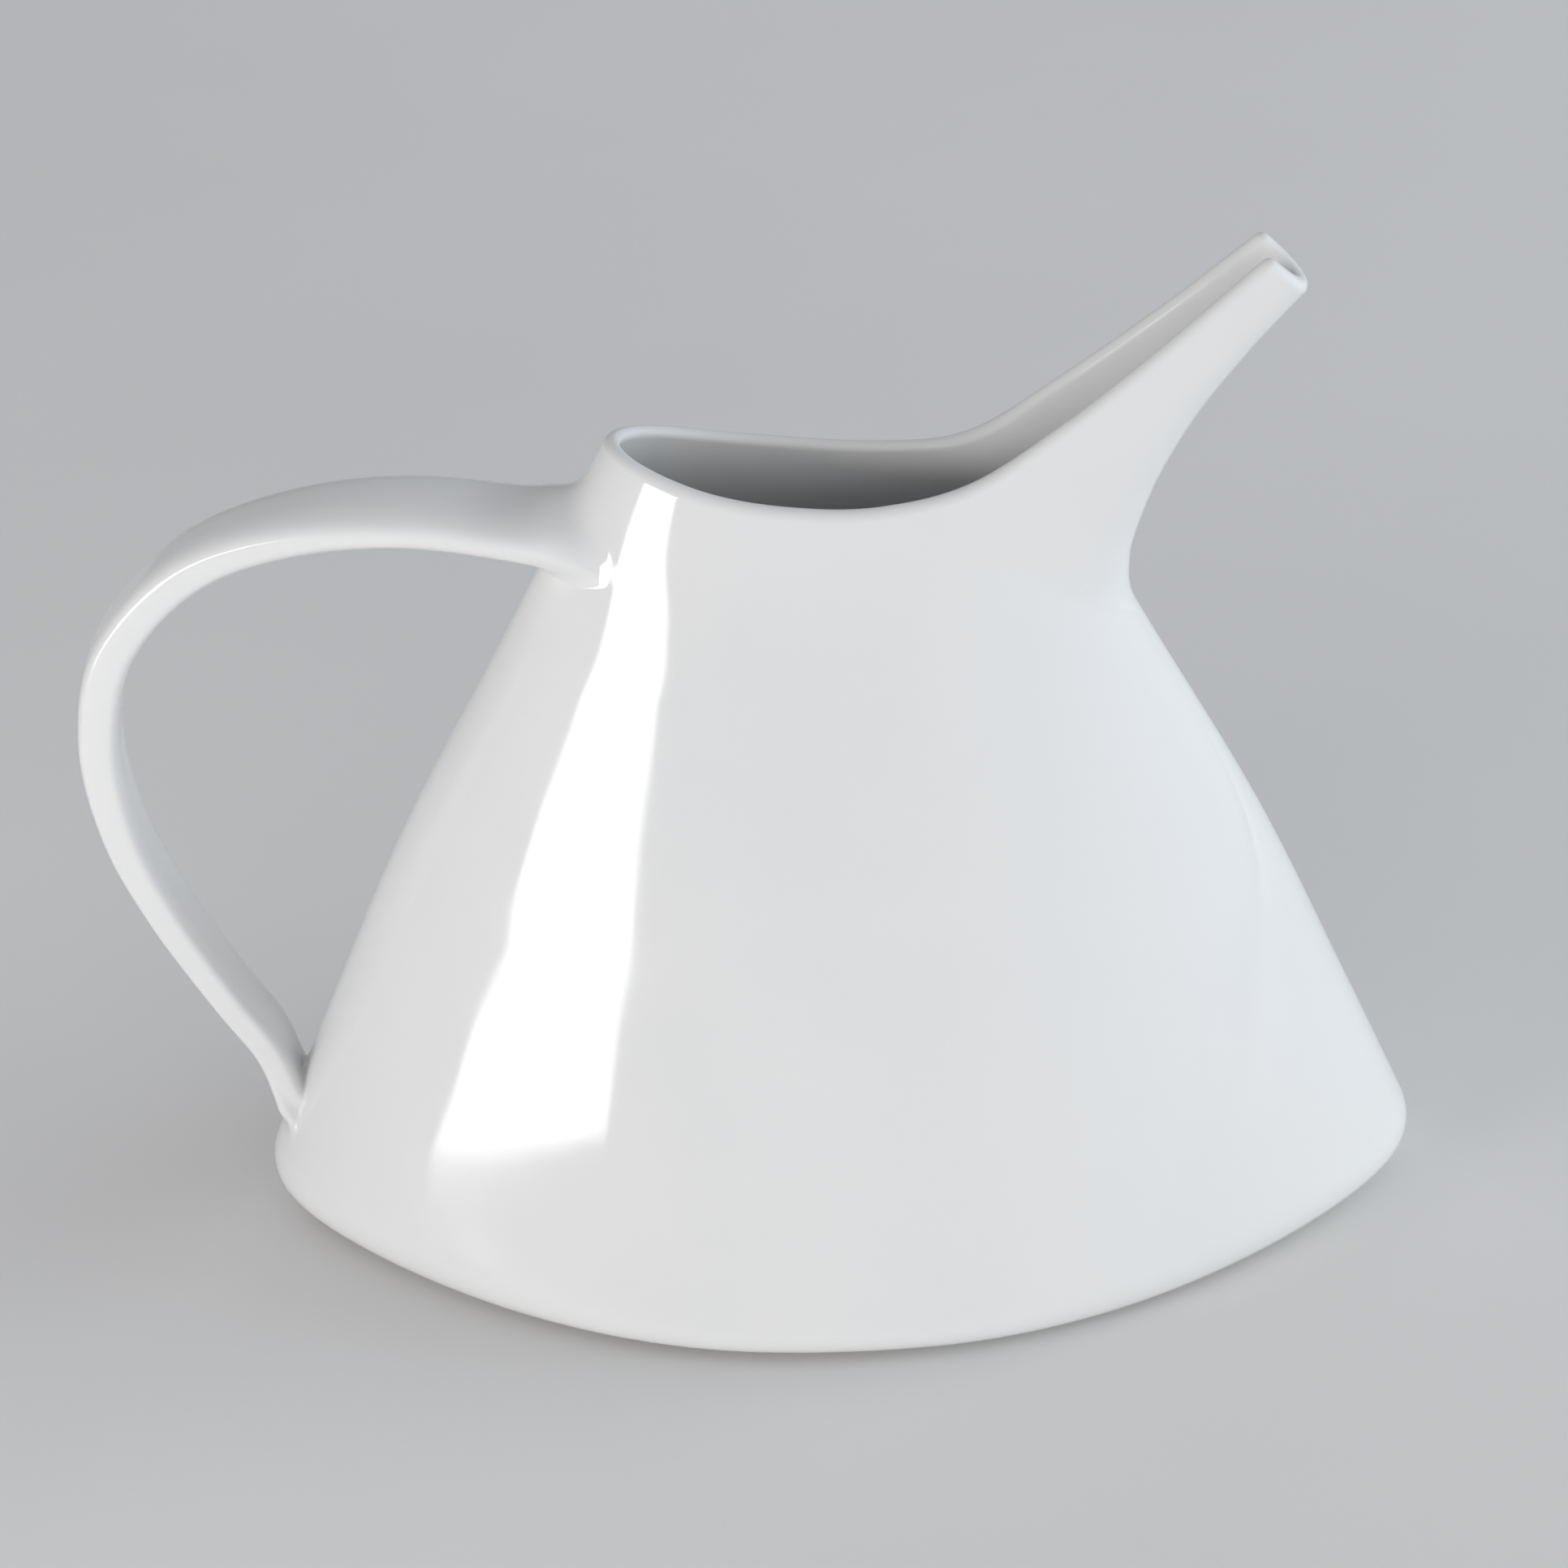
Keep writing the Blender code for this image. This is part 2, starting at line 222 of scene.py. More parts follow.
def pot(x, y, z):
    """Below 0 inside the clay."""
    y = np.abs(y)
    vessel = distance(vessel_level, x, y, z, 0.0)
    end = 5.0 + 6.2 * smooth(np.abs(x), 15, 90)
    vessel = round_max(vessel, -z, end)
    back = BACK_Q - (x * SN + z * CS)
    beak = np.maximum(distance(beak_level, x, y, z, 0.0), back)
    outer = smin(vessel, beak, 7.0)
    cavity = distance(vessel_level, x, y, z, -WALL)
    cavity = round_max(cavity, FLOOR - z, 7.0)
    channel = np.maximum(distance(beak_level, x, y, z, WALL), back)
    inner = smin(cavity, channel, 5.0)
    # the strap joins the outside only
    out = np.full(x.shape, 1e3)
    near = (x < -26) & (y < 22)
    if near.any():
        s, o = strap_place(x[near], z[near])
        d = strap_distance(s, o, y[near])
        d = d + 12.0 * smooth(x[near], -45.0, -27.0) + 6.0 * smooth(s, 0.955, 1.0)
        out[near] = d
        k = np.full(x.shape, 4.0)
        upper = 1 - smooth(s, 0.2, 0.4)
        lower = smooth(s, 0.6, 0.8)
        k[near] = (3.5 + 9.0 * smooth(o, -4.0, 1.5)) * upper + (0.4 + 6.0 * smooth(o, -1.0, 2.0)) * lower + 0.5
        outer = np.where(near, smin(outer, out, k), outer)
    lz = np.interp(x, _lx, _lz)
    top = (z - lz) / np.sqrt(1 + np.interp(x, _lx, _lslope) ** 2)
    tip = x * SN + z * CS - TIP_Q
    top = round_max(top, tip, 1.4)
    wall = np.maximum(outer, -inner)
    body = round_max(wall, top, 1.6)
    return body


# ---------------------------------------------------------------- surface from the shape function
def graded(parts):
    """Grid lines: (from, to, step) runs one after another."""
    out = []
    for lo, hi, h in parts:
        n = max(1, int(round((hi - lo) / h)))
        out.append(np.linspace(lo, hi, n + 1)[:-1])
    out.append(np.array([parts[-1][1]]))
    return np.concatenate(out)


def surface_net(X, Y, Z, f):
    """Quads around every grid edge that the surface crosses, one point per crossed cell."""
    inside = f < 0
    nx, ny, nz = f.shape
    corners = [(i, j, k) for i in (0, 1) for j in (0, 1) for k in (0, 1)]
    count = np.zeros((nx - 1, ny - 1, nz - 1), np.int8)
    for i, j, k in corners:
        count += inside[i:nx - 1 + i, j:ny - 1 + j, k:nz - 1 + k]
    active = (count > 0) & (count < 8)
    index = np.full(active.shape, -1, np.int64)
    cells = np.argwhere(active)
    index[active] = np.arange(len(cells))
    ci, cj, ck = cells.T
    total = np.zeros((len(cells), 3))
    hits = np.zeros(len(cells))
    edges = []
    for a in corners:
        for ax in range(3):
            if a[ax] == 0:
                b = list(a)
                b[ax] = 1
                edges.append((a, tuple(b)))
    for a, b in edges:
        fa = f[ci + a[0], cj + a[1], ck + a[2]]
        fb = f[ci + b[0], cj + b[1], ck + b[2]]
        m = (fa < 0) != (fb < 0)
        t = np.where(m, fa / np.where(m, fa - fb, 1), 0)
        pa = np.c_[X[ci + a[0]], Y[cj + a[1]], Z[ck + a[2]]]
        pb = np.c_[X[ci + b[0]], Y[cj + b[1]], Z[ck + b[2]]]
        total[m] += (pa + (pb - pa) * t[:, None])[m]
        hits[m] += 1
    points = total / hits[:, None]
    quads = []
    for ax in range(3):
        sl0 = [slice(None)] * 3
        sl1 = [slice(None)] * 3
        sl0[ax], sl1[ax] = slice(0, -1), slice(1, None)
        a, b = inside[tuple(sl0)], inside[tuple(sl1)]
        cross = np.argwhere(a != b)
        flip = a[tuple(cross.T)]
        u, v = [(1, 2), (2, 0), (0, 1)][ax]
        ok = (cross[:, u] > 0) & (cross[:, v] > 0) & (cross[:, u] < f.shape[u] - 1) & (cross[:, v] < f.shape[v] - 1)
        cross, flip = cross[ok], flip[ok]
        ring = []
        for du, dv in ((-1, -1), (0, -1), (0, 0), (-1, 0)):
            c = cross.copy()
            c[:, u] += du
            c[:, v] += dv
            ring.append(index[c[:, 0], c[:, 1], c[:, 2]])
        ring = np.stack(ring, 1)
        ring[~flip] = ring[~flip][:, ::-1]
        quads.append(ring)
    return points, np.concatenate(quads)


def gradient(p, e=0.04):
    f0 = pot(p[:, 0], p[:, 1], p[:, 2])
    g = np.empty_like(p)
    for ax in range(3):
        hi, lo = p.copy(), p.copy()
        hi[:, ax] += e
        lo[:, ax] -= e
        g[:, ax] = (pot(hi[:, 0], hi[:, 1], hi[:, 2]) - pot(lo[:, 0], lo[:, 1], lo[:, 2])) / (2 * e)
    return f0, g


def even_out(p, quads, n, amount):
    """Moves every point along the surface towards the middle of its quads."""
    acc = np.zeros_like(p)
    hits = np.zeros(len(p))
    mid = p[quads].mean(1)
    for c in range(quads.shape[1]):
        for ax in range(3):
            acc[:, ax] += np.bincount(quads[:, c], mid[:, ax], len(p))
        hits += np.bincount(quads[:, c], minlength=len(p))
    move = acc / np.maximum(hits, 1)[:, None] - p
    if n is not None:
        move -= (move * n).sum(1)[:, None] * n
    return p + amount * move


def draw_on(p):
    """One Newton step onto the surface; also the unit gradient there."""
    f0, g = gradient(p)
    gg = (g * g).sum(1)
    step = (f0 / np.maximum(gg, 0.05))[:, None] * g
    length = np.linalg.norm(step, axis=1)
    step *= np.minimum(1, 0.8 / np.maximum(length, 1e-9))[:, None]
    return p - step, g / np.sqrt(np.maximum(gg, 1e-12))[:, None], f0


def refine(p, tri, mark_edge):
    """Splits marked edges; triangles with two marked edges are split on all three."""
    pairs = np.concatenate([tri[:, [0, 1]], tri[:, [1, 2]], tri[:, [2, 0]]])
    pairs.sort(axis=1)
    key = pairs[:, 0] * np.int64(len(p)) + pairs[:, 1]
    unique, inverse = np.unique(key, return_inverse=True)
    a, b = unique // len(p), unique % len(p)
    mark = mark_edge(a, b)
    side = inverse.reshape(3, -1).T
    for _ in range(30):
        count = mark[side].sum(1)
        grow = count == 2
        if not grow.any():
            break
        mark[side[grow].ravel()] = True
    new_id = np.full(len(unique), -1, np.int64)
    new_id[mark] = len(p) + np.arange(mark.sum())
    q = np.concatenate([p, 0.5 * (p[a[mark]] + p[b[mark]])])
    count = mark[side].sum(1)
    out = [tri[count == 0]]
    t, m = tri[count == 3], new_id[side[count == 3]]
    out += [np.c_[t[:, 0], m[:, 0], m[:, 2]], np.c_[m[:, 0], t[:, 1], m[:, 1]],
            np.c_[m[:, 2], m[:, 1], t[:, 2]], np.c_[m[:, 0], m[:, 1], m[:, 2]]]
    for k in range(3):
        pick = (count == 1) & mark[side[:, k]]
        t, m = tri[pick], new_id[side[pick, k]]
        i, j, l = k, (k + 1) % 3, (k + 2) % 3
        out += [np.c_[t[:, i], m, t[:, l]], np.c_[m, t[:, j], t[:, l]]]
    return q, np.concatenate(out)


def bent(p, n, angle, shortest, longest):
    """Edges whose ends' normals differ by more than angle degrees, or that are too long."""
    def test(a, b):
        length = np.linalg.norm(p[a] - p[b], axis=1)
        turn = (n[a] * n[b]).sum(1) < math.cos(math.radians(angle))
        return (turn & (length > shortest)) | (length > longest)
    return test


def relax(p, tri, n, amount, weight=None):
    """Moves the points within the surface towards the middle of their neighbours."""
    acc = np.zeros_like(p)
    hits = np.zeros(len(p))
    for i, j in ((0, 1), (1, 2), (2, 0), (1, 0), (2, 1), (0, 2)):
        for ax in range(3):
            acc[:, ax] += np.bincount(tri[:, i], p[tri[:, j], ax], len(p))
        hits += np.bincount(tri[:, i], minlength=len(p))
    move = acc / np.maximum(hits, 1)[:, None] - p
    move -= (move * n).sum(1)[:, None] * n
    return p + amount * move


# ---------------------------------------------------------------- meshing
def pot_surface():
    """Points, triangles and unit normals of the whole clay surface."""
    X = graded([(-127, -44, 1.4), (-44, 84, 1.3), (84, 103, 1.5)])
    Y = graded([(0, 16, 1.2), (16, 63, 1.5)])
    Z = graded([(-1.2, 10, 1.3), (10, 104, 1.7), (104, 176, 1.25)])
    grid = np.stack(np.meshgrid(X, Y, Z, indexing='ij'), -1).reshape(-1, 3)
    half = pot(grid[:, 0], grid[:, 1], grid[:, 2]).reshape(len(X), len(Y), len(Z))
    full = np.concatenate([half[:, :0:-1, :], half], 1)
    p, quads = surface_net(X, np.r_[-Y[:0:-1], Y], Z, full)
    p, n, _ = draw_on(p)
    for _ in range(2):
        p = even_out(p, quads, n, 0.5)
    p, n, _ = draw_on(p)
    tri = np.concatenate([quads[:, [0, 1, 2]], quads[:, [0, 2, 3]]])
    for angle, shortest in ((20, 0.7), (11, 0.45)):
        old = len(p)
        p, tri = refine(p, tri, bent(p, n, angle, shortest, 1e9))
        n = np.concatenate([n, np.zeros((len(p) - old, 3))])
        for _ in range(2):
            p[old:], n[old:], _ = draw_on(p[old:])
        for _ in range(3):
            p = relax(p, tri, n, 0.35)
        p, n, _ = draw_on(p)
    p, n, _ = draw_on(p)
    f, g = gradient(p)
    n = g / np.linalg.norm(g, axis=1)[:, None]
    # the few points in the tightest creases that have not settled take their neighbours' place
    none = np.zeros_like(n)
    for _ in range(6):
        near_p, near_n = relax(p, tri, none, 1.0), relax(n, tri, none, 1.0)
        near_n /= np.maximum(np.linalg.norm(near_n, axis=1), 1e-6)[:, None]
        loose = (np.abs(f) > 0.01) | ((n * near_n).sum(1) < 0.93)
        print('unsettled points', int(loose.sum()))
        if not loose.any():
            break
        p[loose], n[loose] = near_p[loose], near_n[loose]
        f[loose] = 0.0
    n /= np.linalg.norm(n, axis=1)[:, None]
    return p, tri, n


def border_loops(tri):
    """Closed chains of points along the open border, in face order."""
    edges = np.concatenate([tri[:, [0, 1]], tri[:, [1, 2]], tri[:, [2, 0]]])
    have = {(int(a), int(b)) for a, b in edges}
    after = {}
    for a, b in have:
        if (b, a) not in have:
            after.setdefault(a, []).append(b)
    loops = []
    while after:
        start = next(iter(after))
        loop, here = [], start
        while True:
            loop.append(here)
            following = after[here]
            nxt = following.pop()
            if not following:
                del after[here]
            here = nxt
            if here == start or here not in after:
                break
        loops.append(loop)
    return loops


def place(p):
    """From the pot's millimetres to the row frame."""
    return (p + np.array((SHIFT_X, 0.0, RAISE))) * 0.001


def clay_piece(name, p, tri, n):
    """Object from a share of the surface; its luted ends are closed out of sight, inside the clay."""
    used = np.unique(tri)
    index = np.full(len(p), -1, np.int64)
    index[used] = np.arange(len(used))
    pts, nor, faces = p[used], n[used], index[tri]
    caps = []
    for loop in border_loops(faces):
        # a narrow band leads from the border into the clay, and flat faces close it
        loop = np.array(loop)
        base, k = len(pts), len(loop)
        inner = pts[loop] - 0.3 * nor[loop]
        middle = inner.mean(0)
        facing = np.cross(inner - middle, np.roll(inner, -1, 0) - middle).sum(0)
        facing /= -np.linalg.norm(facing)
        pts = np.concatenate([pts, inner])
        nor = np.concatenate([nor, np.tile(facing, (k, 1))])
        i, j = np.arange(k), np.roll(np.arange(k), -1)
        caps += [np.c_[loop[j], loop[i], base + i], np.c_[loop[j], base + i, base + j]]
        ends = np.array(tessellate_polygon([[Vector(v) for v in inner]]), np.int64)
        tilt = np.cross(inner[ends[:, 1]] - inner[ends[:, 0]], inner[ends[:, 2]] - inner[ends[:, 0]]).sum(0)
        caps.append(base + (ends if tilt @ facing > 0 else ends[:, ::-1]))
    hidden = sum(len(c) for c in caps)
    faces = np.concatenate([faces] + caps)
    mesh = bpy.data.meshes.new(name)
    mesh.vertices.add(len(pts))
    mesh.vertices.foreach_set("co", place(pts).astype(np.float32).ravel())
    mesh.loops.add(faces.size)
    mesh.loops.foreach_set("vertex_index", faces.astype(np.int32).ravel())
    mesh.polygons.add(len(faces))
    mesh.polygons.foreach_set("loop_start", np.arange(0, faces.size, 3, dtype=np.int32))
    mesh.update(calc_edges=True)
    mesh.validate()
    mesh.shade_smooth()
    mesh.normals_split_custom_set_from_vertices([tuple(v) for v in nor])
    obj = bpy.data.objects.new(name, mesh)
    bpy.context.scene.collection.objects.link(obj)
    print(name, len(pts), 'points', len(faces), 'triangles', hidden, 'hidden')
    return obj


def share_of_faces(p, tri):
    """0 body, 1 spout, 2 handle for each triangle, along the luted joints."""
    c = p[tri].mean(1)
    x, y, z = c.T
    share = np.zeros(len(tri), int)
    ahead = (x * SN + z * CS) - JOINT_Q
    share[(ahead > 0) & (x > 20) & (z > 90)] = 1
    level = vessel_level(x, y, z, 1.2)
    strap = (x < -30) & (level > 1.0) & (z > 14) & (z < 139)
    s, o = strap_place(x[strap], z[strap])
    inside = strap_distance(s, o, y[strap]) < 2.2
    idx = np.where(strap)[0][inside]
    share[idx] = 2
    return share


def tidy(share, tri, rounds=12):
    """Evens out the border between shares, so that no lone triangle sticks across it."""
    pairs = np.concatenate([tri[:, [0, 1]], tri[:, [1, 2]], tri[:, [2, 0]]])
    pairs.sort(axis=1)
    key = pairs[:, 0] * np.int64(tri.max() + 1) + pairs[:, 1]
    order = np.argsort(key, kind='stable')
    first, second = order[0::2], order[1::2]
    assert (key[first] == key[second]).all()
    n = len(tri)
    other = np.empty(3 * n, np.int64)
    other[first], other[second] = second % n, first % n
    other = other.reshape(3, n).T
    for _ in range(rounds):
        around = share[other]
        for k in (0, 1, 2):
            share = np.where(((around == k).sum(1) >= 2) & (share != k), k, share)
    return share, other


def keep_largest(share, other, value, back=0):
    """Only the largest connected patch of a share keeps its value."""
    members = np.where(share == value)[0]
    label = np.full(len(share), -1, np.int64)
    label[members] = members
    while True:
        near = label[other]
        near = np.where(share[other] == value, near, -1)
        best = np.maximum(near.max(1), label)
        best = np.where(share == value, best, -1)
        best = np.where(best >= 0, best[best], -1)
        if (best == label).all():
            break
        label = best
    ids, counts = np.unique(label[members], return_counts=True)
    main = ids[counts.argmax()]
    out = share.copy()
    out[(share == value) & (label != main)] = back
    return out


def foot_ring():
    """Low unglazed ring with rounded edges, its top drawn just into the underside."""
    theta = np.linspace(0, 2 * np.pi, 257)[:-1]
    c, s = np.cos(theta), np.sin(theta)
    a0, b0 = LENGTH_AT[0][1] - 16.0, WIDTH_AT[0][1] - 9.5
    k = 1 - 0.109 * c * c - 0.175 * c ** 4
    mid_a, mid_b = a0 - 2.6, b0 - 2.6
    centre = np.c_[mid_a * c, mid_b * s * k]
    tangent = np.roll(centre, -1, 0) - np.roll(centre, 1, 0)
    tangent /= np.linalg.norm(tangent, axis=1)[:, None]
    out = np.c_[tangent[:, 1], -tangent[:, 0]]
    profile = [(2.6, 0.15), (2.55, -0.5), (2.4, -1.0), (2.0, -1.45), (1.4, -1.7), (0.5, -1.8), (-0.5, -1.8),
               (-1.4, -1.7), (-2.0, -1.45), (-2.4, -1.0), (-2.55, -0.5), (-2.6, 0.15)]
    rows, m = len(profile), len(theta)
    pts = np.concatenate([np.c_[centre + out * u, np.full(m, z)] for u, z in profile])
    faces = []
    for r in range(rows):
        for i in range(m):
            j = (i + 1) % m
            a, b = r * m, ((r + 1) % rows) * m
            faces.append((a + i, b + i, b + j, a + j))
    mesh = bpy.data.meshes.new("foot_ring_surface")
    mesh.from_pydata([tuple(v) for v in place(pts)], [], faces)
    mesh.shade_smooth()
    mesh.set_sharp_from_angle(angle=math.radians(60))
    obj = bpy.data.objects.new("foot_ring_surface", mesh)
    bpy.context.scene.collection.objects.link(obj)
    return obj


# ---------------------------------------------------------------- materials
def nodes_of(name):
    mat = bpy.data.materials.new(name)
    mat.use_nodes = True
    tree = mat.node_tree
    return mat, tree, tree.nodes["Principled BSDF"]


def link(tree, a, out, b, into):
    tree.links.new(a.outputs[out], b.inputs[into])


def noise(tree, scale, detail=2.0, rough=0.5, coords=None):
    n = tree.nodes.new("ShaderNodeTexNoise")
    n.inputs["Scale"].default_value = scale
    n.inputs["Detail"].default_value = detail
    n.inputs["Roughness"].default_value = rough
    if coords is not None:
        tree.links.new(coords, n.inputs["Vector"])
    return n


def ramp(tree, stops, source):
    r = tree.nodes.new("ShaderNodeValToRGB")
    while len(r.color_ramp.elements) < len(stops):
        r.color_ramp.elements.new(0.5)
    for e, (pos, col) in zip(r.color_ramp.elements, stops):
        e.position = pos
        e.color = (*col, 1.0)
    tree.links.new(source, r.inputs["Fac"])
    return r


def glaze(name, seed, light=1.0):
    """White glazed porcelain: slow drift of tone, faint pooling, a slightly wavy gloss, a rare speck."""
    mat, tree, bsdf = nodes_of(name)
    where = tree.nodes.new("ShaderNodeTexCoord")
    shift = tree.nodes.new("ShaderNodeVectorMath")
    shift.operation = 'ADD'
    shift.inputs[1].default_value = (seed, seed * 0.7, seed * 1.3)
    tree.links.new(where.outputs["Object"], shift.inputs[0])
    v = shift.outputs[0]
    drift = noise(tree, 14.0, 3.0, 0.55, v)
    tone = ramp(tree, ((0.30, (0.790 * light, 0.790 * light, 0.788 * light)),
                       (0.52, (0.812 * light, 0.808 * light, 0.802 * light)),
                       (0.72, (0.825 * light, 0.818 * light, 0.806 * light))), drift.outputs["Fac"])
    # specks: the very centres of large cells, seldom dark
    cells = tree.nodes.new("ShaderNodeTexVoronoi")
    cells.inputs["Scale"].default_value = 28.0
    tree.links.new(v, cells.inputs["Vector"])
    dot = ramp(tree, ((0.0, (1, 1, 1)), (0.010, (1, 1, 1)), (0.016, (0, 0, 0))), cells.outputs["Distance"])
    pick = tree.nodes.new("ShaderNodeSeparateColor")
    tree.links.new(cells.outputs["Color"], pick.inputs[0])
    rare = tree.nodes.new("ShaderNodeMath")
    rare.operation = 'GREATER_THAN'
    rare.inputs[1].default_value = 0.86
    tree.links.new(pick.outputs[0], rare.inputs[0])
    both = tree.nodes.new("ShaderNodeMath")
    both.operation = 'MULTIPLY'
    tree.links.new(dot.outputs["Color"], both.inputs[0])
    tree.links.new(rare.outputs[0], both.inputs[1])
    mix = tree.nodes.new("ShaderNodeMix")
    mix.data_type = 'RGBA'
    mix.inputs["B"].default_value = (0.42, 0.36, 0.28, 1.0)
    tree.links.new(both.outputs[0], mix.inputs["Factor"])
    tree.links.new(tone.outputs["Color"], mix.inputs["A"])
    tree.links.new(mix.outputs["Result"], bsdf.inputs["Base Color"])
    # gloss
    fine = noise(tree, 60.0, 2.0, 0.5, v)
    gloss = tree.nodes.new("ShaderNodeMapRange")
    gloss.inputs["From Min"].default_value = 0.3
    gloss.inputs["From Max"].default_value = 0.7
    gloss.inputs["To Min"].default_value = 0.055
    gloss.inputs["To Max"].default_value = 0.10
    tree.links.new(fine.outputs["Fac"], gloss.inputs["Value"])
    tree.links.new(gloss.outputs["Result"], bsdf.inputs["Roughness"])
    bsdf.inputs["IOR"].default_value = 1.52
    bsdf.inputs["Coat Weight"].default_value = 0.0
    bsdf.inputs["Subsurface Weight"].default_value = 0.0
    # waviness of the glaze, then orange peel
    wave = noise(tree, 55.0, 1.0, 0.4, v)
    peel = noise(tree, 900.0, 2.0, 0.5, v)
    b1 = tree.nodes.new("ShaderNodeBump")
    b1.inputs["Strength"].default_value = 0.35
    b1.inputs["Distance"].default_value = 0.00012
    tree.links.new(wave.outputs["Fac"], b1.inputs["Height"])
    b2 = tree.nodes.new("ShaderNodeBump")
    b2.inputs["Strength"].default_value = 0.25
    b2.inputs["Distance"].default_value = 0.00001
    tree.links.new(peel.outputs["Fac"], b2.inputs["Height"])
    tree.links.new(b1.outputs["Normal"], b2.inputs["Normal"])
    tree.links.new(b2.outputs["Normal"], bsdf.inputs["Normal"])
    return mat


def bisque():
    """Unglazed porcelain where the foot was wiped: matt, slightly warm, finely grained."""
    mat, tree, bsdf = nodes_of("unglazed_foot")
    where = tree.nodes.new("ShaderNodeTexCoord")
    v = where.outputs["Object"]
    grain = noise(tree, 1600.0, 4.0, 0.6, v)
    stain = noise(tree, 40.0, 3.0, 0.6, v)
    tone = ramp(tree, ((0.3, (0.56, 0.51, 0.44)), (0.6, (0.70, 0.66, 0.60))), stain.outputs["Fac"])
    mix = tree.nodes.new("ShaderNodeMix")
    mix.data_type = 'RGBA'
    mix.blend_type = 'MULTIPLY'
    mix.inputs["Factor"].default_value = 0.35
    tree.links.new(tone.outputs["Color"], mix.inputs["A"])
    tree.links.new(grain.outputs["Color"], mix.inputs["B"])
    tree.links.new(mix.outputs["Result"], bsdf.inputs["Base Color"])
    bsdf.inputs["Roughness"].default_value = 0.8
    b = tree.nodes.new("ShaderNodeBump")
    b.inputs["Strength"].default_value = 0.4
    b.inputs["Distance"].default_value = 0.00005
    tree.links.new(grain.outputs["Fac"], b.inputs["Height"])
    tree.links.new(b.outputs["Normal"], bsdf.inputs["Normal"])
    return mat


def backdrop():
    mat, tree, bsdf = nodes_of("pale_floor")
    where = tree.nodes.new("ShaderNodeTexCoord")
    n = noise(tree, 3.0, 4.0, 0.6, where.outputs["Object"])
    tone = ramp(tree, ((0.3, (0.80, 0.79, 0.78)), (0.7, (0.83, 0.82, 0.81))), n.outputs["Fac"])
    tree.links.new(tone.outputs["Color"], bsdf.inputs["Base Color"])
    bsdf.inputs["Roughness"].default_value = 0.7
    bsdf.inputs["Specular IOR Level"].default_value = 0.2
    return mat


# ---------------------------------------------------------------- the pot
points, triangles, normals = pot_surface()
share = share_of_faces(points, triangles)
share, beside = tidy(share, triangles)
for _ in range(3):
    share = keep_largest(share, beside, 1)
    share = keep_largest(share, beside, 2)
    alone = keep_largest(share, beside, 0, back=-1)
    share = np.where(alone < 0, np.where(points[triangles[:, 0], 0] < 0, 2, 1), share)
    share, beside = tidy(share, triangles)

body = clay_piece("body_surface", points, triangles[share == 0], normals)
spout = clay_piece("spout_surface", points, triangles[share == 1], normals)
handle = clay_piece("handle_surface", points, triangles[share == 2], normals)
foot = foot_ring()

body.data.materials.append(glaze("body_glaze", 0.0))
spout.data.materials.append(glaze("spout_glaze", 0.0))
handle.data.materials.append(glaze("handle_glaze", 0.0))
foot.data.materials.append(bisque())

for piece, nodes, finish_slot in ((body, ("body", "handle_upper_joint", "handle_lower_joint", "spout_joint"), "glaze"),
                                  (spout, ("spout",), "spout_glaze"),
                                  (handle, ("handle",), "handle_glaze"),
                                  (foot, ("foot_ring",), "bisque")):
    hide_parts(*nodes)
    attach(piece, "root")

# ---------------------------------------------------------------- studio
bpy.ops.mesh.primitive_plane_add(size=6.0, location=(0, 0, 0))
floor = bpy.context.object
floor.name = "floor"
floor.data.materials.append(backdrop())

world = bpy.context.scene.world or bpy.data.worlds.new("world")
bpy.context.scene.world = world
world.use_nodes = True
sky = world.node_tree.nodes.get("Background")
sky.inputs["Strength"].default_value = 0.31
# a soft glow low on the right, so that the glaze has something to mirror there
tree = world.node_tree
heading = tree.nodes.new("ShaderNodeTexCoord")
spot = tree.nodes.new("ShaderNodeVectorMath")
spot.operation = 'DOT_PRODUCT'
spot.inputs[1].default_value = (0.96, -0.22, 0.16)
tree.links.new(heading.outputs["Generated"], spot.inputs[0])
glow = tree.nodes.new("ShaderNodeMapRange")
glow.interpolation_type = 'SMOOTHSTEP'
glow.inputs["From Min"].default_value = 0.45
glow.inputs["From Max"].default_value = 1.0
tree.links.new(spot.outputs["Value"], glow.inputs["Value"])
hue = tree.nodes.new("ShaderNodeMix")
hue.data_type = 'RGBA'
hue.inputs["A"].default_value = (0.95, 0.96, 1.0, 1.0)
hue.inputs["B"].default_value = (2.8, 3.05, 3.3, 1.0)
tree.links.new(glow.outputs["Result"], hue.inputs["Factor"])
tree.links.new(hue.outputs["Result"], sky.inputs["Color"])


def area(name, place_at, look_at, width, height, power, colour=(1, 1, 1), spread=None):
    data = bpy.data.lights.new(name, 'AREA')
    data.shape = 'RECTANGLE'
    data.size, data.size_y = width, height
    data.energy = power
    data.color = colour
    if spread is not None:
        data.spread = spread
    obj = bpy.data.objects.new(name, data)
    bpy.context.scene.collection.objects.link(obj)
    obj.location = place_at
    obj.rotation_euler = (Vector(look_at) - Vector(place_at)).to_track_quat('-Z', 'Y').to_euler()
    return obj


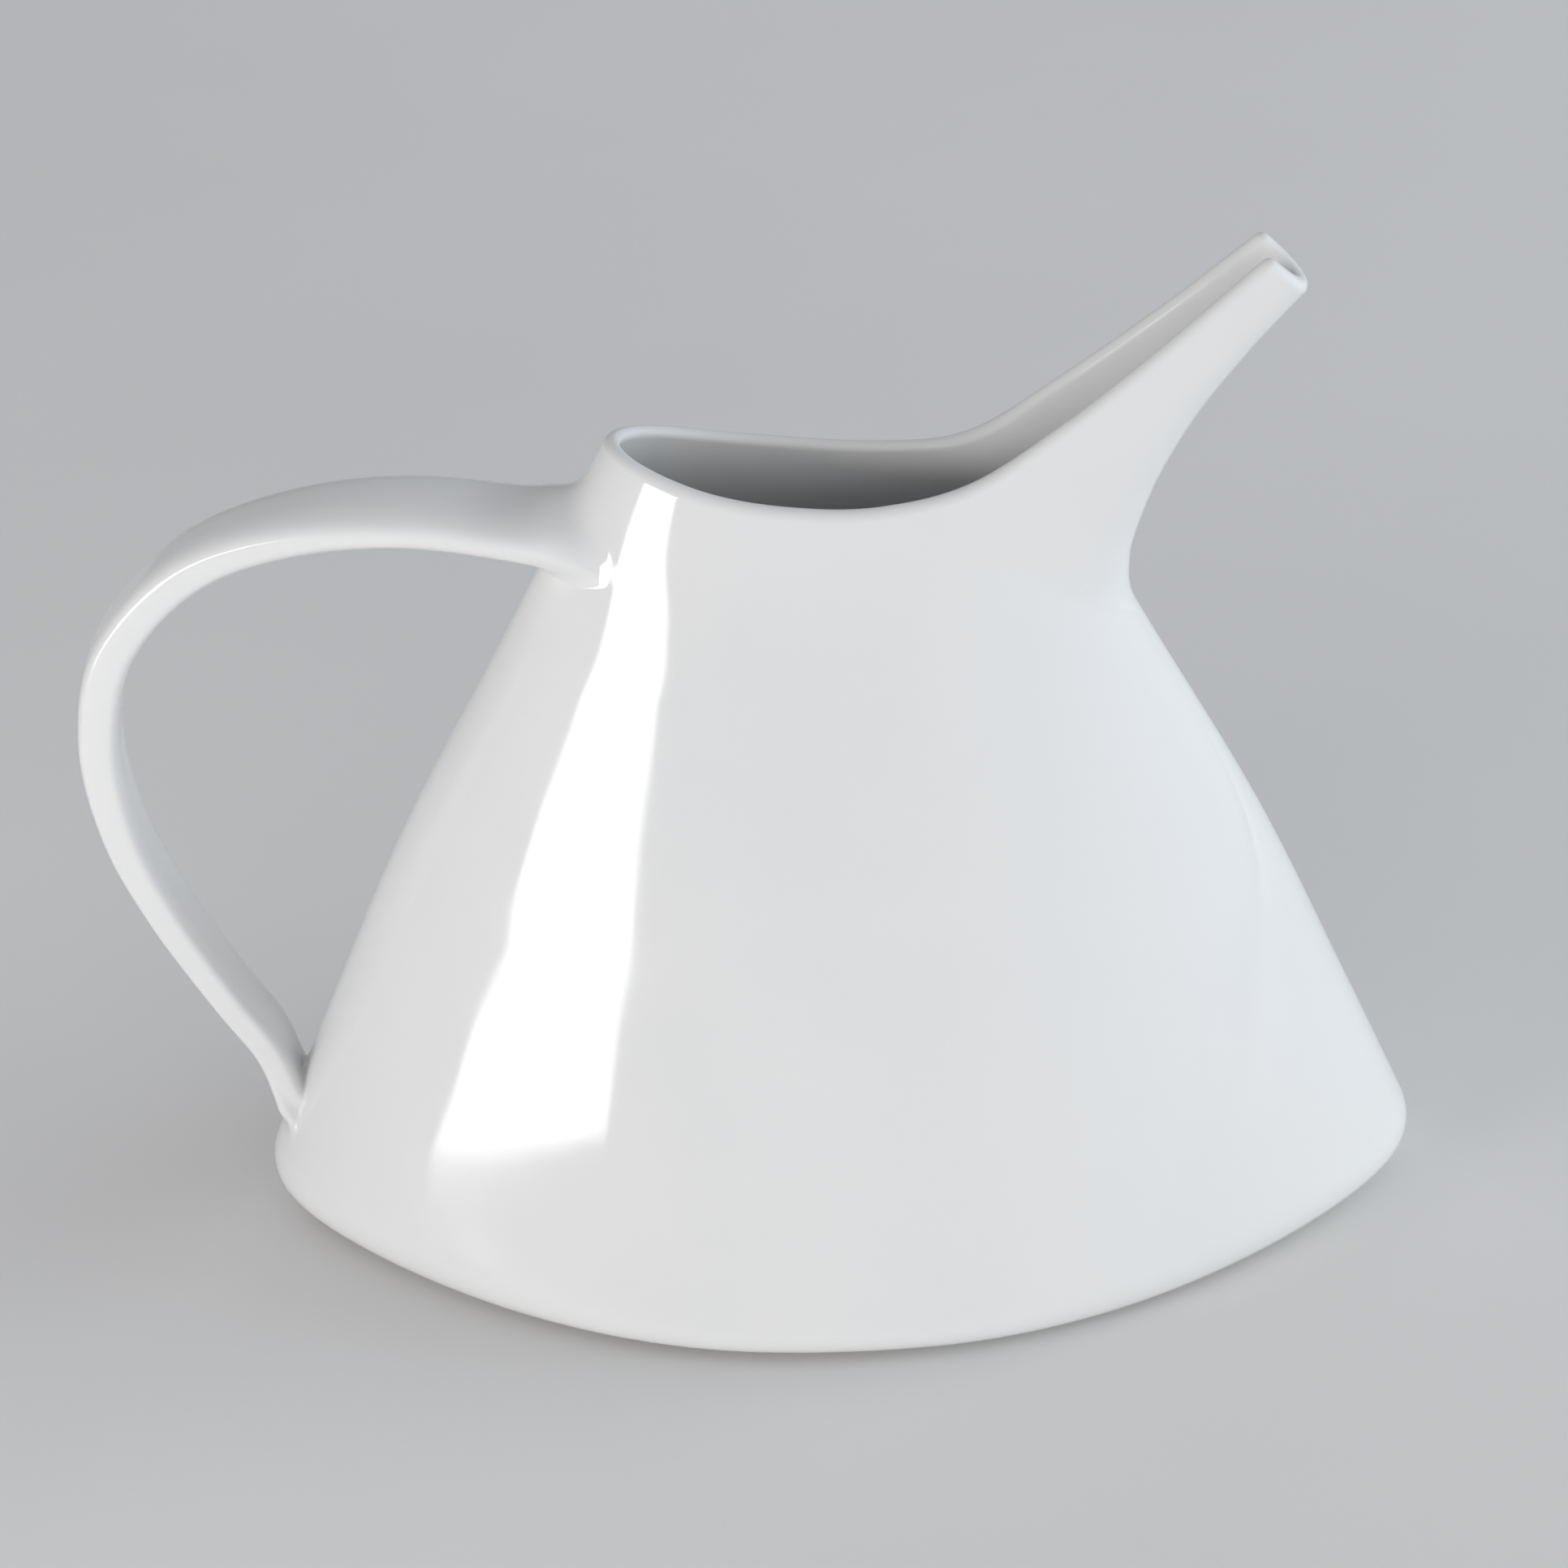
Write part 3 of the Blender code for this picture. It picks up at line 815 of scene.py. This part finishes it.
def window_card():
    """The large window to the left of the pot: a card that gives light but is not itself seen."""
    azimuth, elevation, distance = math.radians(-142.0), math.radians(4.0), 0.8
    ahead = Vector((math.cos(azimuth) * math.cos(elevation), math.sin(azimuth) * math.cos(elevation), math.sin(elevation)))
    centre = Vector((-0.032, -0.025, 0.0768)) + ahead * distance
    side = Vector((-math.sin(azimuth), math.cos(azimuth), 0.0))
    rise = side.cross(ahead) * -1.0
    if rise.z < 0:
        rise = -rise
    outline = ((-292, -128), (208, -50), (221, 3), (240, 28), (290, 73), (332, 140), (366, 200), (20, 200),
               (-15, 140), (-68, 76), (-120, 25), (-183, -25), (-228, -60))
    mesh = bpy.data.meshes.new("window_card")
    mesh.from_pydata([tuple(centre + side * (u * 0.001) + rise * (v * 0.001)) for u, v in outline], [],
                     [tuple(range(len(outline)))])
    card = bpy.data.objects.new("window_card", mesh)
    bpy.context.scene.collection.objects.link(card)
    mat = bpy.data.materials.new("window_light")
    mat.use_nodes = True
    tree = mat.node_tree
    tree.nodes.clear()
    out = tree.nodes.new("ShaderNodeOutputMaterial")
    glow = tree.nodes.new("ShaderNodeEmission")
    glow.inputs["Strength"].default_value = 8.5
    where = tree.nodes.new("ShaderNodeTexCoord")
    haze = noise(tree, 1.5, 1.0, 0.5, where.outputs["Object"])
    tone = ramp(tree, ((0.3, (0.97, 0.965, 0.965)), (0.7, (1.0, 0.985, 0.97))), haze.outputs["Fac"])
    tree.links.new(tone.outputs["Color"], glow.inputs["Color"])
    tree.links.new(glow.outputs["Emission"], out.inputs["Surface"])
    mesh.materials.append(mat)
    card.visible_camera = False
    return card


window_card()
fill = area("soft_right", (1.5, 0.1, 0.42), (0.0, 0.0, 0.08), 1.5, 0.8, 11.0, (0.88, 0.95, 1.0))
front = area("soft_front", (0.2, -2.3, 0.62), (0.0, 0.0, 0.08), 2.4, 0.8, 11.5, (1.0, 0.985, 0.97))
behind = area("soft_back", (-0.3, 2.2, 1.3), (0.0, 0.0, 0.05), 2.4, 1.2, 9.0, (0.95, 0.98, 1.0))
for lamp in (fill, front, behind):
    lamp.visible_camera = False
    lamp.visible_glossy = False

# ---------------------------------------------------------------- camera
azimuth, elevation, roll = math.radians(CAM_AZ), math.radians(CAM_EL), math.radians(CAM_ROLL)
back = Vector((math.sin(azimuth) * math.cos(elevation), -math.cos(azimuth) * math.cos(elevation), math.sin(elevation)))
right = Vector((math.cos(azimuth), math.sin(azimuth), 0.0))
up = back.cross(right)
across = right * math.cos(roll) + up * math.sin(roll)
upward = up * math.cos(roll) - right * math.sin(roll)
target = Vector(((CAM_X + SHIFT_X) * 0.001, 0.0, (CAM_Z + RAISE) * 0.001))
eye = target + back * (CAM_D * 0.001)
lens = bpy.data.cameras.new("camera")
lens.sensor_width = 36.0
lens.lens = 6000.0 / 1932.0 * 36.0
camera = bpy.data.objects.new("camera", lens)
bpy.context.scene.collection.objects.link(camera)
camera.matrix_world = Matrix(((across.x, upward.x, back.x, eye.x), (across.y, upward.y, back.y, eye.y),
                              (across.z, upward.z, back.z, eye.z), (0, 0, 0, 1)))
bpy.context.scene.camera = camera
bpy.context.scene.view_settings.view_transform = 'Standard'
